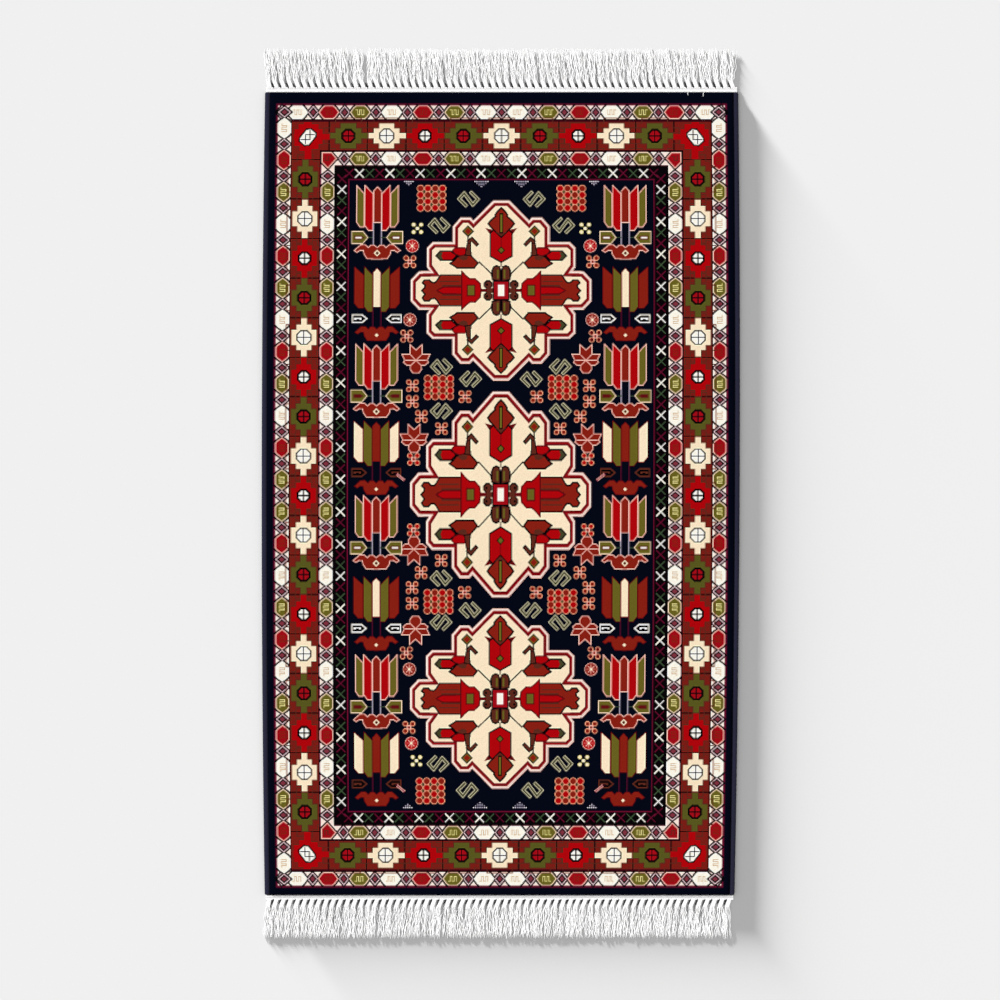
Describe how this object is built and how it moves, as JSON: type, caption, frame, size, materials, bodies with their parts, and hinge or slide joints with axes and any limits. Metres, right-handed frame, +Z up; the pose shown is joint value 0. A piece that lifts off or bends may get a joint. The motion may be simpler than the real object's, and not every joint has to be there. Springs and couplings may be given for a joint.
{
  "type": "area rug",
  "caption": "Oriental-pattern cut-pile area rug with three medallions, layered borders, overcast long edges and a tasselled fringe at each end.",
  "frame": {"origin": "centre of the underside, on the floor", "axes": "+X across the width, +Y along the length towards the far fringe, +Z up out of the pile"},
  "size_m": [0.8, 1.5, 0.0105],
  "materials": {
    "navy_pile": "matte",
    "ivory_pile": "matte",
    "rust_pile": "matte",
    "black_pile": "matte",
    "cream_pile": "matte",
    "navy_overcast_yarn": "satin",
    "white_cotton": "matte",
    "raw_jute_yarn": "matte",
    "raw_cotton_yarn": "matte",
    "latex_sizing": "matte"
  },
  "bodies": {
    "rug": {"back_sizing": "latex_sizing", "edge_cord_left": "raw_cotton_yarn", "edge_cord_right": "raw_cotton_yarn", "fringe_stitch_far": "white_cotton", "fringe_stitch_near": "white_cotton", "fringe_tape_far": "white_cotton", "fringe_tape_near": "white_cotton", "ground_stuffer_warp": "raw_cotton_yarn", "ground_weft_back": "raw_jute_yarn", "ground_weft_face": "raw_jute_yarn", "overcast_edge_left": "navy_overcast_yarn", "overcast_edge_right": "navy_overcast_yarn", "pile_cross_border": "black_pile", "pile_field": "navy_pile", "pile_inner_guard_border": "ivory_pile", "pile_main_border": "rust_pile", "pile_medallion_far": "cream_pile", "pile_medallion_middle": "cream_pile", "pile_medallion_near": "cream_pile", "pile_outer_band": "navy_pile", "pile_outer_guard_border": "ivory_pile"},
    "fringe_far": {"tassels_far_01": "white_cotton", "tassels_far_02": "white_cotton", "tassels_far_03": "white_cotton", "tassels_far_04": "white_cotton", "tassels_far_05": "white_cotton", "tassels_far_06": "white_cotton", "tassels_far_07": "white_cotton", "tassels_far_08": "white_cotton", "tassels_far_09": "white_cotton", "tassels_far_10": "white_cotton", "tassels_far_11": "white_cotton", "tassels_far_12": "white_cotton", "tassels_far_13": "white_cotton"},
    "fringe_near": {"tassels_near_01": "white_cotton", "tassels_near_02": "white_cotton", "tassels_near_03": "white_cotton", "tassels_near_04": "white_cotton", "tassels_near_05": "white_cotton", "tassels_near_06": "white_cotton", "tassels_near_07": "white_cotton", "tassels_near_08": "white_cotton", "tassels_near_09": "white_cotton", "tassels_near_10": "white_cotton", "tassels_near_11": "white_cotton", "tassels_near_12": "white_cotton", "tassels_near_13": "white_cotton"}
  },
  "joints": [
    {"name": "fringe_far_fold", "type": "hinge", "parent": "rug", "child": "fringe_far", "pos_m": [0, 0.68343, 0.0012], "axis": [1, 0, 0], "range_deg": [0, 115]},
    {"name": "fringe_near_fold", "type": "hinge", "parent": "rug", "child": "fringe_near", "pos_m": [0, -0.68343, 0.0012], "axis": [-1, 0, 0], "range_deg": [0, 115]}
  ]
}
